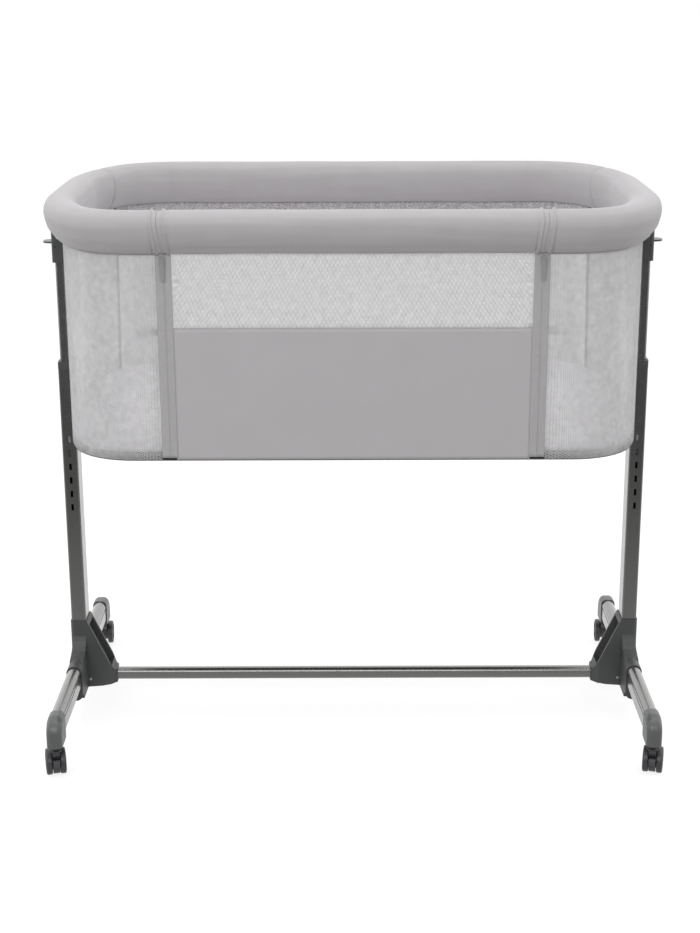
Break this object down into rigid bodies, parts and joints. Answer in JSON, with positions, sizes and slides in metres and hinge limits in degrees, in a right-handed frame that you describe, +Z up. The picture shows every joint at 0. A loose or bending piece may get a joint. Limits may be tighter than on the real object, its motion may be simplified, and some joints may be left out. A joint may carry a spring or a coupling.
{
  "type": "bedside sleeper crib",
  "caption": "Bedside sleeper crib: padded, mesh-walled basket on two telescopic legs, with a zip-down front side and feet on braked twin-wheel casters.",
  "frame": {"origin": "on the floor, under the middle of the crib", "axes": "+X to the right along the crib's length, +Y towards the rear wall (the drop side faces -Y), +Z up"},
  "size_m": [0.95, 0.6161, 0.858],
  "materials": {
    "leg_metal": "satin",
    "rim_metal": "satin",
    "dark_plastic": "matte",
    "caster_plastic": "satin",
    "plain_steel": "brushed",
    "slider_metal": "satin",
    "bumper_fabric": "woven",
    "mesh_fabric": "open mesh",
    "skirt_fabric": "woven",
    "mattress_fabric": "quilted knit",
    "zip_fabric": "woven tape",
    "webbing": "woven webbing",
    "fibre_board": "plain"
  },
  "bodies": {
    "base": {"crossbar": "leg_metal", "left_hub": "dark_plastic", "right_hub": "dark_plastic", "left_foot_tube": "leg_metal", "right_foot_tube": "leg_metal", "left_lower_leg": "leg_metal", "right_lower_leg": "leg_metal", "left_foot_caps": "dark_plastic", "right_foot_caps": "dark_plastic", "leg_collars": "dark_plastic", "hub_screws": "plain_steel"},
    "basket": {"left_rim_hoop": "rim_metal", "right_rim_hoop": "rim_metal", "rear_rim": "rim_metal", "rail_fittings": "dark_plastic", "tilt_brackets": "plain_steel", "tilt_pins": "plain_steel", "left_bumper": "bumper_fabric", "right_bumper": "bumper_fabric", "rear_bumper": "bumper_fabric", "left_end_mesh": "mesh_fabric", "right_end_mesh": "mesh_fabric", "rear_mesh": "mesh_fabric", "floor_frame": "rim_metal", "base_board": "fibre_board", "floor_cloth": "skirt_fabric", "mattress": "mattress_fabric", "rear_strap": "webbing", "frame_zip_tapes": "zip_fabric"},
    "front_panel": {"front_rail": "rim_metal", "front_bumper": "bumper_fabric", "front_window": "mesh_fabric", "front_skirt": "skirt_fabric", "panel_zip_tapes": "zip_fabric"},
    "left_upper_leg": {"left_upper_tube": "leg_metal", "left_head": "dark_plastic", "left_latch_guide": "dark_plastic", "left_latch_spring": "plain_steel"},
    "left_release_paddle": {"left_paddle": "dark_plastic"},
    "left_release_rod": {"left_pull_rod": "plain_steel"},
    "left_latch_block": {"left_latch": "plain_steel"},
    "left_slider": {"left_zip_slider": "slider_metal"},
    "front_left_fork": {"front_left_caster": "caster_plastic"},
    "front_left_wheel_pair": {"front_left_wheels": "caster_plastic"},
    "back_left_fork": {"back_left_caster": "caster_plastic"},
    "back_left_wheel_pair": {"back_left_wheels": "caster_plastic"},
    "front_left_brake_lever": {"front_left_brake": "caster_plastic"},
    "right_upper_leg": {"right_upper_tube": "leg_metal", "right_head": "dark_plastic", "right_latch_guide": "dark_plastic", "right_latch_spring": "plain_steel"},
    "right_release_paddle": {"right_paddle": "dark_plastic"},
    "right_release_rod": {"right_pull_rod": "plain_steel"},
    "right_latch_block": {"right_latch": "plain_steel"},
    "right_slider": {"right_zip_slider": "slider_metal"},
    "front_right_fork": {"front_right_caster": "caster_plastic"},
    "front_right_wheel_pair": {"front_right_wheels": "caster_plastic"},
    "back_right_fork": {"back_right_caster": "caster_plastic"},
    "back_right_wheel_pair": {"back_right_wheels": "caster_plastic"},
    "front_right_brake_lever": {"front_right_brake": "caster_plastic"}
  },
  "joints": [
    {"name": "height_slide", "type": "slide", "parent": "base", "child": "left_upper_leg", "axis": [0, 0, 1], "range_m": [-0.1125, 0]},
    {"name": "basket_tilt", "type": "hinge", "parent": "left_upper_leg", "child": "basket", "pos_m": [-0.4485, 0, 0.781], "axis": [0, 1, 0], "range_deg": [-1.44, 1.44]},
    {"name": "right_leg_follow", "type": "hinge", "parent": "basket", "child": "right_upper_leg", "pos_m": [0.4485, 0, 0.781], "axis": [0, 1, 0], "range_deg": [-1.44, 1.44]},
    {"name": "left_paddle_press", "type": "hinge", "parent": "left_upper_leg", "child": "left_release_paddle", "pos_m": [-0.455, 0, 0.7645], "axis": [0, -1, 0], "range_deg": [0, 15.8]},
    {"name": "left_rod_lift", "type": "slide", "parent": "left_upper_leg", "child": "left_release_rod", "axis": [0, 0, 1], "range_m": [0, 0.00373], "stiffness_N_per_m": 400, "springref_m": -0.002, "deforming": ["left_latch_spring"]},
    {"name": "left_latch_draw", "type": "slide", "parent": "left_upper_leg", "child": "left_latch_block", "axis": [0, 1, 0], "range_m": [0, 0.00373]},
    {"name": "right_paddle_press", "type": "hinge", "parent": "right_upper_leg", "child": "right_release_paddle", "pos_m": [0.455, 0, 0.7645], "axis": [0, 1, 0], "range_deg": [0, 15.8]},
    {"name": "right_rod_lift", "type": "slide", "parent": "right_upper_leg", "child": "right_release_rod", "axis": [0, 0, 1], "range_m": [0, 0.00373], "stiffness_N_per_m": 400, "springref_m": -0.002, "deforming": ["right_latch_spring"]},
    {"name": "right_latch_draw", "type": "slide", "parent": "right_upper_leg", "child": "right_latch_block", "axis": [0, 1, 0], "range_m": [0, 0.00373]},
    {"name": "front_panel_drop", "type": "hinge", "parent": "basket", "child": "front_panel", "pos_m": [0, -0.274, 0.5], "axis": [1, 0, 0], "range_deg": [0, 175]},
    {"name": "left_zip_run", "type": "slide", "parent": "front_panel", "child": "left_slider", "axis": [0, 0.0318, -0.9995], "range_m": [0, 0.24]},
    {"name": "right_zip_run", "type": "slide", "parent": "front_panel", "child": "right_slider", "axis": [0, 0.0318, -0.9995], "range_m": [0, 0.24]},
    {"name": "front_left_swivel", "type": "hinge", "parent": "base", "child": "front_left_fork", "pos_m": [-0.4485, -0.2765, 0.06], "axis": [0, 0, 1], "continuous": true},
    {"name": "front_left_roll", "type": "hinge", "parent": "front_left_fork", "child": "front_left_wheel_pair", "pos_m": [-0.4531, -0.25806, 0.02], "axis": [0.9703, 0.2419, 0], "continuous": true},
    {"name": "front_left_brake_press", "type": "hinge", "parent": "front_left_fork", "child": "front_left_brake_lever", "pos_m": [-0.4531, -0.25806, 0.02], "axis": [0.9703, 0.2419, 0], "range_deg": [0, 18]},
    {"name": "back_left_swivel", "type": "hinge", "parent": "base", "child": "back_left_fork", "pos_m": [-0.4485, 0.2375, 0.06], "axis": [0, 0, 1], "continuous": true},
    {"name": "back_left_roll", "type": "hinge", "parent": "back_left_fork", "child": "back_left_wheel_pair", "pos_m": [-0.44969, 0.25646, 0.02], "axis": [0.998, 0.0628, 0], "continuous": true},
    {"name": "front_right_swivel", "type": "hinge", "parent": "base", "child": "front_right_fork", "pos_m": [0.4485, -0.2765, 0.06], "axis": [0, 0, 1], "continuous": true},
    {"name": "front_right_roll", "type": "hinge", "parent": "front_right_fork", "child": "front_right_wheel_pair", "pos_m": [0.4531, -0.25806, 0.02], "axis": [0.9703, -0.2419, 0], "continuous": true},
    {"name": "front_right_brake_press", "type": "hinge", "parent": "front_right_fork", "child": "front_right_brake_lever", "pos_m": [0.4531, -0.25806, 0.02], "axis": [0.9703, -0.2419, 0], "range_deg": [0, 18]},
    {"name": "back_right_swivel", "type": "hinge", "parent": "base", "child": "back_right_fork", "pos_m": [0.4485, 0.2375, 0.06], "axis": [0, 0, 1], "continuous": true},
    {"name": "back_right_roll", "type": "hinge", "parent": "back_right_fork", "child": "back_right_wheel_pair", "pos_m": [0.44969, 0.25646, 0.02], "axis": [0.998, -0.0628, 0], "continuous": true}
  ],
  "couplings": [
    {"joint": "right_leg_follow", "follows": "basket_tilt", "ratio": -1},
    {"joint": "left_paddle_press", "follows": "left_rod_lift", "rad_per_m": 74},
    {"joint": "left_latch_draw", "follows": "left_rod_lift", "ratio": 1},
    {"joint": "right_paddle_press", "follows": "right_rod_lift", "rad_per_m": 74},
    {"joint": "right_latch_draw", "follows": "right_rod_lift", "ratio": 1}
  ]
}
